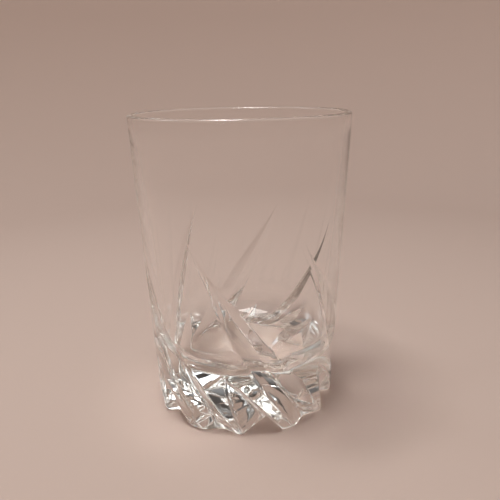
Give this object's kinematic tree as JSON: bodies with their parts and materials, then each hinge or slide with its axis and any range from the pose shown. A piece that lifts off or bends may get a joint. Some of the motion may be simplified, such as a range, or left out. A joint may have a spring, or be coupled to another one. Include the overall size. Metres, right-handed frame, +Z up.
{
  "type": "whiskey tumbler",
  "caption": "Clear cut-crystal whiskey tumbler: tall, slightly tapered glass with a thick base, long slanting wheel cuts and a notched foot.",
  "frame": {"origin": "centre of the foot, on the surface that the glass stands on", "axes": "+Z up along the glass's axis, -Y the front, +X to the right"},
  "size_m": [0.078, 0.078, 0.1083],
  "materials": {
    "clear_crystal": "clear colourless lead-free crystal glass, fire-polished rim, polished wheel cuts"
  },
  "bodies": {
    "root": {"tumbler": "clear_crystal"}
  },
  "joints": []
}
